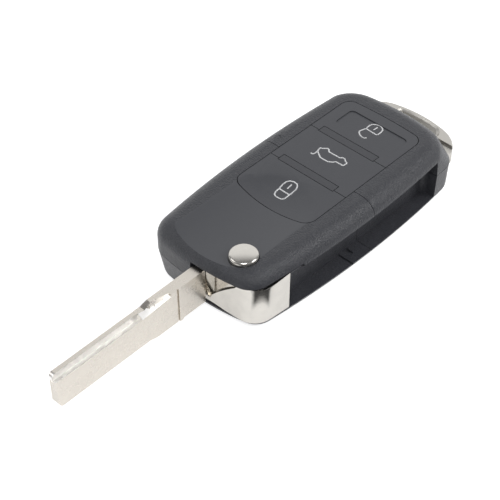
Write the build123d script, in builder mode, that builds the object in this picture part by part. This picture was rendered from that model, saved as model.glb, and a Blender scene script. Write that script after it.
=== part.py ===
from build123d import *
from math import atan2, degrees, sqrt
import os

os.makedirs("parts", exist_ok=True)

# A car key remote with a flip-out blade, modelled with the blade swung out.
# The blade turns about the Z axis. -X points to the blade's tip, +X to the key ring,
# +Z to the buttons, and Z = 0 is the flat underside that the key lies on.

# Casing: plan outline
centre_y = 8.1
nose_x = -7.6
tail_x = 69.4
front_left_x = -6.0
front_right_x = -5.3
front_half = 16.1
waist_x = 31.0
waist_half = 18.8
rear_corner_x = 67.1
rear_half = 17.0
front_round = 5.8
rear_round = 5.8
rear_round_gain = 1.3

# Casing: heights, walls and the joints between its four shells
top_z = 16.9
top_round = 4.4
bottom_round = 2.4
side_draft = 0.5
nose_rake_left = 1.0
nose_rake_right = 2.0
tail_rake = 3.7
front_edge_relief = 0.8
wall = 1.8
floor_z = 2.0
roof_z = top_z - 1.5
part_z = 8.9
split_x = 33.7
seam = 0.16

# Opening that the blade swings through, and the slot it folds into
groove_x = 26.8
groove_width = 0.6
bump_x = 30.1
gate_mark_x = 36.3
gate_mark_y = 23.2
gate_mark_radius = 0.9
bay_low = floor_z
bay_high = 13.2
bay_front_left = 9.8
swing_radius = 11.0
bay_wall = 1.2
slot_inner_y = -5.5
slot_wall = 1.5
slot_end_x = 59.0
slot_end_round = 1.6

# Thumb dish in the top, running from the nose to the lock button
dish_radius = 78.0
dish_half = 11.2
dish_apex_x = 28.0

# Button pad
pad_front_x = 16.1
pad_rear_x = 60.3
pad_half = 12.1
pad_front_bulge = 1.5
pad_rear_bulge = 0.6
pad_round = 3.0
lock_edge_x = 30.7
boot_edge_x = 45.4
key_gap = 0.18
cap_thickness = 1.4
rim_low_z = top_z - 2.3
rim_height = 0.7
rim_reach = 0.6
plunger_radius = 1.2
plunger_gap = 0.6

# Blade
blade_thickness = 2.9
blade_near_y = 6.25
blade_mid_z = 7.85
blade_tip_x = -51.3
blade_height = 9.0
shoulder_height = 10.2
shoulder_x = -22.0
shoulder_ramp = 2.2
track_depth = 1.7
track_height = 1.8
track_lip = 0.8
track_end_x = -26.0
run_out_x = -17.2
rib_x = -15.0
rib_width = 1.1
rib_height = 0.25
tip_chamfer = 0.4
tang_height = 7.8
tang_thickness = 2.0
tang_end_x = 2.6
pin_radius = 0.9
pin_length = 5.2
pin_x = -1.6

# Blade carrier
carrier_gap = 0.2
carrier_front_x = -6.45
carrier_nose_x = -5.6
carrier_corner_x = -4.0
carrier_right_y = -9.0
carrier_rear_x = 5.8
carrier_rear_left_x = 5.2
carrier_rake = 0.7
carrier_corner_rake = -0.7
carrier_corner_draft = 1.2
carrier_draft = 0.25
carrier_round = 4.4
carrier_low_round = 5.2
carrier_rear_round = 4.4
carrier_lip = 0.6
scoop_back_x = -4.6
scoop_low_z = 4.1
scoop_mid_y = 2.4
scoop_mid_z = 8.35
scoop_reach_y = -2.7
scoop_fall = 0.42
trunnion_radius = 4.7
trunnion_height = 0.9
pivot_clearance = 0.08

# Flip button and its spring
button_radius = 3.55
button_clearance = 0.1
button_top_z = 18.1
button_round = 0.7
button_dome_radius = 16.0
button_flange_radius = 3.95
button_flange_height = 0.9
button_travel = 2.0
shank_width = 4.4
shank_low_z = 8.4
spring_wire = 0.6
spring_radius = 2.6
spring_turns = 5
spring_bore_radius = 3.3
web_low_z = 8.8

# Electronics and battery
board_top_z = top_z - 4.4
board_thickness = 1.0
switch_width = 3.6
switch_height = 0.8
actuator_radius = 0.9
actuator_height = 0.3
mat_top_z = top_z - 2.9
mat_thickness = 0.6
mat_front_x = pad_front_x + 3.0
mat_rear_x = pad_rear_x - 2.2
mat_half = pad_half - 1.2
board_front_x = split_x + 0.8
board_rear_x = rear_corner_x - tail_rake - 2.4
board_tongue_x = pad_front_x + 2.5
board_tongue_half = pad_half - 0.9
board_y = centre_y + 1.5
board_half = rear_half - wall - 2.0
cell_y = 10.5
cell_radius = 10.0
cell_height = 3.2
contact_thickness = 0.3
contact_width = 4.0

# Key ring loop
loop_low_z = 4.8
loop_reach = 6.1
loop_half = 14.3
loop_band = 1.3
loop_hole_half = 7.9
loop_hole_gap = 0.2
loop_hole_round = 2.6
loop_bow = 1.0
loop_bow_half = 8.1
loop_edge = 0.35
loop_step_gap = 1.3
loop_step_depth = 0.7
loop_tongue_x = tail_x - 5.6
loop_tongue_half = 8.5

# Screw and transponder
screw_x = 14.0
screw_y = centre_y + waist_half - 7.2
screw_radius = 0.8
screw_head_radius = 1.7
screw_head_height = 1.0
pillar_radius = 2.2
chip_x = 4.2
chip_y = centre_y + 10.5
chip_length = 11.0
chip_width = 6.0
chip_height = 3.0

far_out = 100.0
fit = 0.05

blade_far_y = blade_near_y + blade_thickness
carrier_low = bay_low + carrier_gap
carrier_high = bay_high - carrier_gap
loop_high_z = part_z + seam / 2
loop_reach_x = tail_x + loop_reach
board_low_z = board_top_z - board_thickness
cell_x = loop_tongue_x - 1.9 - cell_radius
chip_middle_x = (pad_front_x + lock_edge_x) / 2 + 2.5


def save(part, name):
    """Names a finished piece and writes its STEP file."""
    part.label = name
    export_step(part, f"parts/{name}.step")


def casing_outline(inset=0.0, left_rake=0.0, right_rake=0.0, rear_rake=0.0):
    """Plan outline of the whole casing, moved inwards by inset, and at its ends by the rakes."""
    left_x = front_left_x + inset + left_rake
    right_x = front_right_x + inset + right_rake
    middle_x = nose_x + inset + (left_rake + right_rake) / 2
    rear_x = rear_corner_x - inset - rear_rake
    rear_corner_round = rear_round + rear_round_gain * rear_rake - inset
    front_half_y = front_half - inset
    rear_half_y = rear_half - inset
    waist_half_y = waist_half - inset
    with BuildSketch() as plan:
        with BuildLine():
            front_left = (left_x, centre_y + front_half_y)
            front_right = (right_x, centre_y - front_half_y)
            rear_left = (rear_x, centre_y + rear_half_y)
            rear_right = (rear_x, centre_y - rear_half_y)
            ThreePointArc(front_left, (middle_x, centre_y), front_right)
            ThreePointArc(front_right, (waist_x, centre_y - waist_half_y), rear_right)
            ThreePointArc(rear_right, (tail_x - inset - rear_rake, centre_y), rear_left)
            ThreePointArc(rear_left, (waist_x, centre_y + waist_half_y), front_left)
        make_face()
        fillet(plan.vertices().sort_by_distance(front_left)[0], front_round - inset)
        fillet(plan.vertices().sort_by_distance(front_right)[0], front_round - inset)
        fillet(plan.vertices().sort_by_distance(rear_left)[0], rear_corner_round)
        fillet(plan.vertices().sort_by_distance(rear_right)[0], rear_corner_round)
    return plan.sketch


def pad_outline(inset=0.0):
    """Plan outline of the button pad, moved inwards by inset."""
    front_x = pad_front_x + pad_front_bulge + inset
    rear_x = pad_rear_x - pad_rear_bulge - inset
    left_y = centre_y + pad_half - inset
    right_y = centre_y - pad_half + inset
    with BuildSketch() as plan:
        with BuildLine():
            ThreePointArc((front_x, left_y), (pad_front_x + inset, centre_y), (front_x, right_y))
            Line((front_x, right_y), (rear_x, right_y))
            ThreePointArc((rear_x, right_y), (pad_rear_x - inset, centre_y), (rear_x, left_y))
            Line((rear_x, left_y), (front_x, left_y))
        make_face()
        fillet(plan.vertices(), pad_round - inset)
    return plan.sketch


def loop_outline(grow=0.0):
    """Plan outline of the key ring loop with its tongue, without its hole."""
    tongue_half = loop_tongue_half + grow
    outer_half = loop_half + grow
    reach_x = loop_reach_x + grow
    leg_x = tail_x - 2.0 - grow
    with BuildSketch() as plan:
        with BuildLine():
            Polyline(
                (leg_x, centre_y + outer_half),
                (leg_x - 2.0, centre_y + tongue_half),
                (loop_tongue_x - grow, centre_y + tongue_half),
                (loop_tongue_x - grow, centre_y - tongue_half),
                (leg_x - 2.0, centre_y - tongue_half),
                (leg_x, centre_y - outer_half),
                (tail_x, centre_y - outer_half),
            )
            bow_right = (reach_x - loop_bow, centre_y - loop_bow_half)
            bow_left = (reach_x - loop_bow, centre_y + loop_bow_half)
            bow = ThreePointArc(bow_right, (reach_x, centre_y), bow_left)
            TangentArc(bow_right, (tail_x, centre_y - outer_half), tangent=-(bow % 0))
            TangentArc(bow_left, (tail_x, centre_y + outer_half), tangent=bow % 1)
            Line((tail_x, centre_y + outer_half), (leg_x, centre_y + outer_half))
        make_face()
    return plan.sketch


# The casing as one solid: drafted below the parting line, its tail leaning in above it
with BuildPart() as casing:
    with BuildSketch():
        add(casing_outline(side_draft, nose_rake_left, nose_rake_right))
    with BuildSketch(Plane.XY.offset(part_z)):
        add(casing_outline())
    loft()
    with BuildSketch(Plane.XY.offset(part_z)):
        add(casing_outline())
    with BuildSketch(Plane.XY.offset(top_z)):
        add(casing_outline(rear_rake=tail_rake))
    loft()
    fillet(casing.faces().sort_by(Axis.Z)[-1].edges(), top_round)
    fillet(casing.faces().sort_by(Axis.Z)[0].edges(), bottom_round)

# Everything inside the casing that is empty, without the blade's bay and slot
with BuildPart() as cavity:
    with BuildSketch(Plane.XY.offset(floor_z)):
        add(casing_outline(wall, nose_rake_left, nose_rake_right, tail_rake))
        with Locations((0, slot_inner_y + slot_wall)):
            Rectangle(far_out * 2, far_out, align=(Align.CENTER, Align.MIN), mode=Mode.INTERSECT)
        Circle(swing_radius + bay_wall, mode=Mode.SUBTRACT)
    extrude(amount=bay_high - floor_z)
    with BuildSketch(Plane.XY.offset(bay_high)):
        add(pad_outline(-1.0))
    extrude(amount=roof_z - bay_high)

# The bay about the pivot, open to the front and the right, and the slot behind it
with BuildPart() as blade_bay:
    with BuildSketch(Plane.XY.offset(bay_low)):
        Circle(swing_radius)
        with Locations((0, bay_front_left)):
            Rectangle(far_out, far_out, align=(Align.MAX, Align.MAX))
        with Locations((0, slot_inner_y)):
            Rectangle(slot_end_x, far_out, align=(Align.MIN, Align.MAX))
    extrude(amount=bay_high - bay_low)
    end_edges = blade_bay.edges().filter_by(Axis.Z).sort_by_distance((slot_end_x, slot_inner_y, bay_high))
    fillet(end_edges[0], slot_end_round)

# Relief under the front edge of the roof, so that the carrier's bright lip shows
with BuildPart() as front_relief:
    with BuildSketch(Plane.XY.offset(bay_high)):
        with Locations((carrier_rear_x, bay_front_left)):
            Rectangle(far_out, far_out, align=(Align.MAX, Align.MAX))
    extrude(amount=front_edge_relief)
    with BuildSketch(Plane.XY.offset(bay_high)):
        add(casing_outline(front_edge_relief))
    with BuildSketch(Plane.XY.offset(bay_high + front_edge_relief)):
        add(casing_outline())
    loft(mode=Mode.SUBTRACT)

# Long shallow dish that guides the thumb, a cylinder with a round end
dish_depth = dish_radius - sqrt(dish_radius**2 - dish_half**2)
with BuildPart() as thumb_dish:
    dish_end_x = dish_apex_x - dish_half
    dish_axis_z = top_z - dish_depth + dish_radius
    with Locations((dish_end_x, centre_y, dish_axis_z)):
        Sphere(dish_radius)
        Cylinder(
            dish_radius,
            far_out,
            rotation=(0, -90, 0),
            align=(Align.CENTER, Align.CENTER, Align.MIN),
        )

# Upper shell of the head: roof over the blade's bay, with the dish and the flip button's hole
pillar_top_z = part_z
with BuildPart() as head_upper_shell:
    add(casing.part)
    add(cavity.part, mode=Mode.SUBTRACT)
    add(blade_bay.part, mode=Mode.SUBTRACT)
    split(bisect_by=Plane.XY.offset(part_z + seam / 2), keep=Keep.TOP)
    split(bisect_by=Plane.YZ.offset(split_x - seam / 2), keep=Keep.BOTTOM)
    with Locations((screw_x, screw_y, pillar_top_z)):
        Cylinder(pillar_radius, bay_high - pillar_top_z + fit, align=(Align.CENTER, Align.CENTER, Align.MIN))
    with Locations((screw_x, screw_y, pillar_top_z)):
        Cylinder(
            screw_radius + fit / 2,
            bay_high - pillar_top_z - 1,
            align=(Align.CENTER, Align.CENTER, Align.MIN),
            mode=Mode.SUBTRACT,
        )
    add(thumb_dish.part, mode=Mode.SUBTRACT)
    add(front_relief.part, mode=Mode.SUBTRACT)
    with BuildSketch(Plane.XY.offset(roof_z - 2)):
        add(pad_outline())
    extrude(amount=far_out, mode=Mode.SUBTRACT)
    Cylinder(
        button_radius + button_clearance,
        far_out,
        align=(Align.CENTER, Align.CENTER, Align.MIN),
        mode=Mode.SUBTRACT,
    )
    with Locations((0, 0, bay_high)):
        Cylinder(
            trunnion_radius + pivot_clearance,
            trunnion_height - carrier_gap + 0.1,
            align=(Align.CENTER, Align.CENTER, Align.MIN),
            mode=Mode.SUBTRACT,
        )

# Lower shell of the head: floor, outer walls and the pivot's seat
with BuildPart() as head_lower_shell:
    add(casing.part)
    add(cavity.part, mode=Mode.SUBTRACT)
    add(blade_bay.part, mode=Mode.SUBTRACT)
    split(bisect_by=Plane.XY.offset(part_z - seam / 2), keep=Keep.BOTTOM)
    split(bisect_by=Plane.YZ.offset(split_x - seam / 2), keep=Keep.BOTTOM)
    with BuildSketch(Plane.XY.offset(floor_z)):
        with Locations((chip_x, chip_y)):
            Rectangle(chip_length + 1.6, chip_width + 1.6)
            Rectangle(chip_length + 2 * fit, chip_width + 2 * fit, mode=Mode.SUBTRACT)
    extrude(amount=chip_height * 0.7)
    with Locations((screw_x, screw_y, floor_z)):
        Cylinder(pillar_radius, pillar_top_z - floor_z, align=(Align.CENTER, Align.CENTER, Align.MIN))
    with Locations((0, 0, bay_low)):
        Cylinder(
            trunnion_radius + pivot_clearance,
            trunnion_height,
            align=(Align.CENTER, Align.CENTER, Align.MAX),
            mode=Mode.SUBTRACT,
        )
    with Locations((0, 0, bay_low - trunnion_height)):
        Cylinder(
            spring_radius - spring_wire,
            trunnion_height + 1.4,
            align=(Align.CENTER, Align.CENTER, Align.MIN),
        )
    # Groove across the slot's floor and the small bump that the blade snaps over
    with Locations((groove_x, slot_inner_y, floor_z)):
        Box(groove_width, far_out, 0.8, align=(Align.CENTER, Align.MAX, Align.CENTER), mode=Mode.SUBTRACT)
    with Locations((bump_x, slot_inner_y - 0.7, floor_z)):
        Box(1.0, 1.7, 0.5, align=(Align.CENTER, Align.MAX, Align.MIN))
    with Locations(Plane((screw_x, screw_y, 0), z_dir=(0, 0, -1))):
        CounterBoreHole(screw_radius + fit, screw_head_radius + 0.15, screw_head_height + 0.5)

# Upper shell of the remote: frame round the rear buttons
with BuildPart() as remote_upper_shell:
    add(casing.part)
    add(cavity.part, mode=Mode.SUBTRACT)
    add(blade_bay.part, mode=Mode.SUBTRACT)
    split(bisect_by=Plane.XY.offset(part_z + seam / 2), keep=Keep.TOP)
    split(bisect_by=Plane.YZ.offset(split_x + seam / 2), keep=Keep.TOP)
    with BuildSketch(Plane.XY.offset(roof_z - 2)):
        add(pad_outline())
    extrude(amount=far_out, mode=Mode.SUBTRACT)
    with Locations((gate_mark_x, gate_mark_y, top_z)):
        Cylinder(gate_mark_radius, 0.3, mode=Mode.SUBTRACT)

# Lower shell of the remote: a tray with the battery's ring and the board's pillars
pillar_xs = (board_front_x + 3.0, board_rear_x - 3.5)
pillar_ys = (board_y - board_half + 1.5, board_y + board_half - 1.8)
board_pillars = [(x, y) for x in pillar_xs for y in pillar_ys]
with BuildPart() as remote_lower_shell:
    add(casing.part)
    add(cavity.part, mode=Mode.SUBTRACT)
    add(blade_bay.part, mode=Mode.SUBTRACT)
    split(bisect_by=Plane.XY.offset(part_z - seam / 2), keep=Keep.BOTTOM)
    split(bisect_by=Plane.YZ.offset(split_x + seam / 2), keep=Keep.TOP)
    with BuildSketch(Plane.XY.offset(floor_z)):
        with Locations((cell_x, cell_y)):
            Circle(cell_radius + 1.4)
            Circle(cell_radius + 0.2, mode=Mode.SUBTRACT)
            Rectangle(3 * cell_radius, contact_width + 1.0, mode=Mode.SUBTRACT)
    extrude(amount=2.8)
    with BuildSketch(Plane.XY.offset(loop_low_z)):
        add(loop_outline(fit))
    extrude(amount=far_out, mode=Mode.SUBTRACT)
    with Locations(*[(x, y, floor_z) for x, y in board_pillars]):
        Cylinder(1.3, board_low_z - floor_z, align=(Align.CENTER, Align.CENTER, Align.MIN))
    for tongue_y in (3.0, 18.0):
        with Locations((split_x - 6.5, tongue_y, floor_z + 0.1)):
            Box(11.0, 6.0, 1.2, align=(Align.MIN, Align.CENTER, Align.MIN))
        with Locations((split_x + 0.5, tongue_y, floor_z - fit)):
            Box(4.0, 6.0, 1.0, align=(Align.MIN, Align.CENTER, Align.MIN))

# Blade carrier: a chromed casting that turns on two trunnions and follows the casing's corner
with BuildPart() as blade_carrier:
    for level_z in (carrier_low, carrier_high):
        low = level_z == carrier_low
        front_rake = carrier_rake if low else 0
        corner_rake = carrier_corner_rake if low else 0
        corner_draft = carrier_corner_draft if low else 0
        side_in = carrier_draft if low else 0
        with BuildSketch(Plane.XY.offset(level_z)) as plan:
            front_left = (carrier_front_x + front_rake, blade_far_y)
            front_right = (carrier_corner_x + corner_rake, carrier_right_y + corner_draft)
            rear_right = (carrier_rear_x, carrier_right_y + side_in)
            rear_left = (carrier_rear_left_x, blade_far_y)
            with BuildLine():
                front_middle = (carrier_nose_x + front_rake / 2, 1.5)
                ThreePointArc(front_left, front_middle, front_right)
                Polyline(front_right, rear_right, rear_left, front_left)
            make_face()
            corner = carrier_low_round if low else carrier_round
            fillet(plan.vertices().sort_by_distance(front_right)[0], corner)
            fillet(plan.vertices().sort_by_distance(rear_left)[0], carrier_rear_round)
    loft()
    # Recess in the front beside the blade, with a falling curved floor under a thin lip
    with BuildSketch(Plane.YZ.offset(scoop_back_x)) as recess:
        with BuildLine():
            lip_z = carrier_high - carrier_lip
            ThreePointArc(
                (blade_near_y, scoop_low_z),
                (scoop_mid_y, scoop_mid_z),
                (scoop_reach_y, lip_z),
            )
            Polyline((scoop_reach_y, lip_z), (blade_near_y, lip_z), (blade_near_y, scoop_low_z))
        make_face()
    extrude(recess.sketch, amount=4, dir=(-1, 0, 0), mode=Mode.SUBTRACT)
    extrude(recess.sketch, amount=4, dir=(-1, 0, -scoop_fall), mode=Mode.SUBTRACT)
    # Trunnions above and below
    with Locations((0, 0, carrier_high)):
        Cylinder(
            trunnion_radius,
            trunnion_height - carrier_gap,
            align=(Align.CENTER, Align.CENTER, Align.MIN),
        )
    with Locations((0, 0, carrier_low)):
        Cylinder(trunnion_radius, trunnion_height, align=(Align.CENTER, Align.CENTER, Align.MAX))
    # Bore for the spring, square socket for the button's shank, well for its flange
    with Locations((0, 0, web_low_z)):
        Cylinder(
            spring_bore_radius,
            far_out,
            align=(Align.CENTER, Align.CENTER, Align.MAX),
            mode=Mode.SUBTRACT,
        )
        Box(
            shank_width + 2 * button_clearance,
            shank_width + 2 * button_clearance,
            far_out,
            align=(Align.CENTER, Align.CENTER, Align.MIN),
            mode=Mode.SUBTRACT,
        )
    flange_low_z = bay_high + trunnion_height - carrier_gap - button_flange_height
    with Locations((0, 0, flange_low_z - button_travel - 0.2)):
        Cylinder(
            button_flange_radius + button_clearance,
            far_out,
            align=(Align.CENTER, Align.CENTER, Align.MIN),
            mode=Mode.SUBTRACT,
        )
    # Open-sided pocket for the blade's tang, and the cross pin's bore
    with Locations((tang_end_x + fit, blade_far_y, blade_mid_z)):
        Box(
            far_out,
            tang_thickness + fit,
            tang_height + 2 * fit,
            align=(Align.MAX, Align.MAX, Align.CENTER),
            mode=Mode.SUBTRACT,
        )
    with Locations(Plane((pin_x, blade_far_y, blade_mid_z), z_dir=(0, -1, 0))):
        Cylinder(
            pin_radius + 0.01,
            pin_length,
            align=(Align.CENTER, Align.CENTER, Align.MIN),
            mode=Mode.SUBTRACT,
        )

# Key blade: a flat nickel-plated blank with a milled track and a tang in the carrier
with BuildPart() as key_blade:
    half_low = blade_height / 2
    half_high = shoulder_height / 2
    half_tang = tang_height / 2
    ramp_x = shoulder_x - shoulder_ramp
    with BuildSketch(Plane.XZ.offset(-blade_near_y)) as side:
        with BuildLine():
            Polyline(
                (blade_tip_x, blade_mid_z - half_low),
                (ramp_x, blade_mid_z - half_low),
                (shoulder_x, blade_mid_z - half_high),
                (carrier_front_x, blade_mid_z - half_high),
                (carrier_front_x, blade_mid_z + half_high),
                (shoulder_x, blade_mid_z + half_high),
                (ramp_x, blade_mid_z + half_low),
                (blade_tip_x, blade_mid_z + half_low),
                (blade_tip_x, blade_mid_z - half_low),
            )
        make_face()
        fillet(side.vertices().group_by(Axis.X)[0], 1.2)
    extrude(amount=-blade_thickness)
    with BuildSketch(Plane.XY) as plan:
        with Locations((blade_tip_x, blade_near_y)):
            Rectangle(far_out, blade_thickness, align=(Align.MIN, Align.MIN))
        chamfer(plan.vertices().group_by(Axis.X)[0], tip_chamfer)
    extrude(amount=far_out, mode=Mode.INTERSECT)
    with Locations((carrier_front_x, blade_far_y, blade_mid_z)):
        Box(
            tang_end_x - carrier_front_x,
            tang_thickness,
            tang_height,
            align=(Align.MIN, Align.MAX, Align.CENTER),
        )
    # Milled track along the near side's upper edge, and the facet that it runs out in
    edge_low_z = blade_mid_z + half_low
    with BuildSketch(Plane.YZ.offset(track_end_x)):
        with BuildLine():
            Polyline(
                (blade_near_y - 1, edge_low_z - track_lip),
                (blade_near_y, edge_low_z - track_lip),
                (blade_near_y + track_depth, edge_low_z - track_height),
                (blade_near_y + track_depth, edge_low_z + 1),
                (blade_near_y - 1, edge_low_z + 1),
                (blade_near_y - 1, edge_low_z - track_lip),
            )
        make_face()
    extrude(amount=-far_out, mode=Mode.SUBTRACT)
    for facet_x, low, high in ((track_end_x, -0.9, 0.2), (run_out_x, -0.1, 0.6)):
        depth = track_depth + 0.2 if facet_x == track_end_x else 0.8
        with BuildSketch(Plane.YZ.offset(facet_x)):
            with BuildLine():
                low_corner = (blade_near_y - depth / 2, edge_low_z + low - (high - low) / 2)
                high_corner = (blade_near_y + depth * 1.5, edge_low_z + high + (high - low) / 2)
                outer_corner = (low_corner[0], high_corner[1])
                Polyline(low_corner, high_corner, outer_corner, low_corner)
            make_face()
    loft(mode=Mode.SUBTRACT)
    # Narrow rib across the root with a scribed line before it
    with Locations((rib_x, blade_near_y, blade_mid_z)):
        Box(
            rib_width,
            rib_height,
            shoulder_height,
            align=(Align.MIN, Align.MAX, Align.CENTER),
        )
    with Locations((rib_x - 0.3, blade_near_y, blade_mid_z)):
        Box(
            0.3,
            rib_height,
            shoulder_height,
            align=(Align.MIN, Align.MIN, Align.CENTER),
            mode=Mode.SUBTRACT,
        )
    with Locations((pin_x, blade_far_y, blade_mid_z)):
        Cylinder(pin_radius + 0.01, far_out, rotation=(90, 0, 0), mode=Mode.SUBTRACT)

# Cross pin that holds the tang in the carrier
with BuildPart() as blade_pin:
    with Locations(Plane((pin_x, blade_far_y, blade_mid_z), z_dir=(0, -1, 0))):
        Cylinder(pin_radius, pin_length, align=(Align.CENTER, Align.CENTER, Align.MIN))
    chamfer(blade_pin.edges().filter_by(GeomType.CIRCLE), 0.15)

# Flip button: domed cap with a retaining flange and a square shank
with BuildPart() as flip_button:
    dome_z = button_top_z - button_dome_radius
    edge_x = button_radius - button_round
    edge_z = dome_z + sqrt((button_dome_radius - button_round) ** 2 - edge_x**2)
    edge_angle = degrees(atan2(edge_z - dome_z, edge_x))
    with BuildSketch(Plane.XZ):
        with BuildLine():
            CenterArc((0, dome_z), button_dome_radius, 90, edge_angle - 90)
            CenterArc((edge_x, edge_z), button_round, edge_angle, -edge_angle)
            Polyline(
                (button_radius, edge_z),
                (button_radius, flange_low_z),
                (0, flange_low_z),
                (0, button_top_z),
            )
        make_face()
    revolve(axis=Axis.Z)
    with Locations((0, 0, flange_low_z)):
        Cylinder(
            button_flange_radius,
            button_flange_height,
            align=(Align.CENTER, Align.CENTER, Align.MIN),
        )
    with Locations((0, 0, shank_low_z)):
        Box(
            shank_width,
            shank_width,
            flange_low_z - shank_low_z,
            align=(Align.CENTER, Align.CENTER, Align.MIN),
        )

# Flip spring: wire coiled about the pivot, between the floor and the shank
with BuildPart() as flip_spring:
    spring_low_z = bay_low - trunnion_height + spring_wire / 2
    spring_high_z = shank_low_z - spring_wire / 2 - fit
    coil_height = spring_high_z - spring_low_z
    with BuildLine(Plane.XY.offset(spring_low_z)) as coil:
        Helix(coil_height / spring_turns, coil_height, spring_radius)
    with BuildSketch(Plane(coil.line @ 0, z_dir=coil.line % 0)):
        RegularPolygon(spring_wire / 2, 6)
    sweep()

# Button caps: three keys side by side, the front one dished with the head
bar_width = 2.1
bar_half = 8.7
bar_offset_y = centre_y + 0.5
bar_middles = [lock_edge_x + 0.7, boot_edge_x + 0.8]
key_edges = {
    "lock_button": (pad_front_x - 1, lock_edge_x, 23.5),
    "boot_button": (lock_edge_x, boot_edge_x, 39.0),
    "unlock_button": (boot_edge_x, pad_rear_x + 1, 53.3),
}
for name, (low_x, high_x, middle_x) in key_edges.items():
    with BuildPart() as cap:
        with BuildSketch(Plane.XY.offset(rim_low_z)):
            add(pad_outline(key_gap))
            with Locations(((low_x + high_x) / 2, centre_y)):
                Rectangle(high_x - low_x - key_gap, far_out, mode=Mode.INTERSECT)
            for bar_x in bar_middles:
                with Locations((bar_x, bar_offset_y)):
                    Rectangle(bar_width + 2 * key_gap, 2 * (bar_half + key_gap), mode=Mode.SUBTRACT)
        extrude(amount=top_z - rim_low_z)
        # Rim that stops the cap under the casing's frame
        with BuildSketch(Plane.XY.offset(rim_low_z)):
            add(pad_outline(-rim_reach))
            with Locations(((low_x + high_x) / 2, centre_y)):
                Rectangle(high_x - low_x - key_gap, far_out, mode=Mode.INTERSECT)
            for bar_x in bar_middles:
                with Locations((bar_x, bar_offset_y)):
                    Rectangle(bar_width + 2 * key_gap, 2 * (bar_half + key_gap), mode=Mode.SUBTRACT)
        extrude(amount=rim_height)
        # Hollow underside with a plunger over the switch
        with BuildSketch(Plane.XY.offset(rim_low_z)):
            with Locations((middle_x, centre_y)):
                Rectangle(8.0, 18.0)
                Circle(plunger_radius, mode=Mode.SUBTRACT)
        extrude(amount=top_z - cap_thickness - rim_low_z, mode=Mode.SUBTRACT)
        plunger_low_z = board_top_z + switch_height + actuator_height + plunger_gap
        with Locations((middle_x, centre_y, plunger_low_z)):
            Cylinder(
                plunger_radius,
                top_z - cap_thickness - plunger_low_z,
                align=(Align.CENTER, Align.CENTER, Align.MIN),
            )
        if name == "lock_button":
            add(thumb_dish.part, mode=Mode.SUBTRACT)
        if name == "unlock_button":
            with BuildSketch(Plane.XY.offset(top_z - 0.25)):
                with Locations((middle_x + 0.3, centre_y - 0.6)):
                    RectangleRounded(6.8, 18.3, 1.3)
            extrude(amount=1, mode=Mode.SUBTRACT)
    save(cap.part, name)

# Keypad mat: rubber sheet on the board, with the two bars that show between the caps
key_middles = [edges[2] for edges in key_edges.values()]
mat_length = mat_rear_x - mat_front_x
mat_middle = ((mat_front_x + mat_rear_x) / 2, centre_y)
with BuildPart() as keypad_mat:
    with BuildSketch(Plane.XY.offset(board_top_z)):
        with Locations(mat_middle):
            Rectangle(mat_length, 2 * mat_half)
            Rectangle(mat_length - 1.6, 2 * mat_half - 1.6, mode=Mode.SUBTRACT)
    extrude(amount=mat_top_z - board_top_z)
    with BuildSketch(Plane.XY.offset(mat_top_z - mat_thickness)):
        with Locations(mat_middle):
            Rectangle(mat_length, 2 * mat_half)
        for middle_x in key_middles:
            with Locations((middle_x, centre_y)):
                Circle(plunger_radius + 0.6, mode=Mode.SUBTRACT)
    extrude(amount=mat_thickness)
    for bar_x in bar_middles:
        with Locations((bar_x, bar_offset_y, mat_top_z - fit)):
            Box(
                bar_width,
                2 * bar_half,
                top_z - mat_top_z + fit,
                align=(Align.CENTER, Align.CENTER, Align.MIN),
            )

# Circuit board: wide under the rear buttons, with a tongue under the lock button
with BuildPart() as circuit_board:
    with BuildSketch(Plane.XY.offset(board_low_z)) as plan:
        with Locations((board_front_x, board_y)):
            Rectangle(board_rear_x - board_front_x, 2 * board_half, align=(Align.MIN, Align.CENTER))
        with Locations((board_tongue_x, centre_y)):
            tongue_length = board_front_x - board_tongue_x + 1
            Rectangle(tongue_length, 2 * board_tongue_half, align=(Align.MIN, Align.CENTER))
        fillet(plan.vertices().group_by(Axis.X)[-1], 3.0)
    extrude(amount=board_thickness)

# Tact switches under the three caps
for name, (low_x, high_x, middle_x) in key_edges.items():
    with BuildPart() as tact_switch:
        with Locations((middle_x, centre_y, board_top_z)):
            Box(
                switch_width,
                switch_width,
                switch_height,
                align=(Align.CENTER, Align.CENTER, Align.MIN),
            )
        with Locations((middle_x, centre_y, board_top_z + switch_height)):
            Cylinder(
                actuator_radius,
                actuator_height,
                align=(Align.CENTER, Align.CENTER, Align.MIN),
            )
    save(tact_switch.part, name.replace("button", "switch"))

# Chips on the underside of the board
with BuildPart() as control_chip:
    with Locations((chip_middle_x, centre_y, board_low_z)):
        Box(6.0, 5.0, 1.2, align=(Align.CENTER, Align.CENTER, Align.MAX))

with BuildPart() as resonator_can:
    with Locations((chip_middle_x, centre_y + 7.0, board_low_z)):
        Box(5.0, 3.5, 1.4, align=(Align.CENTER, Align.CENTER, Align.MAX))
    fillet(resonator_can.edges().filter_by(Axis.Z), 0.8)

# Coin cell with its crimped rim, lying on the lower contact
cell_low_z = floor_z + contact_thickness
with BuildPart() as coin_cell:
    with Locations((cell_x, cell_y, cell_low_z)):
        Cylinder(cell_radius - 1.2, cell_height, align=(Align.CENTER, Align.CENTER, Align.MIN))
    with Locations((cell_x, cell_y, cell_low_z + 0.4)):
        Cylinder(cell_radius, cell_height - 0.4, align=(Align.CENTER, Align.CENTER, Align.MIN))

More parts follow.
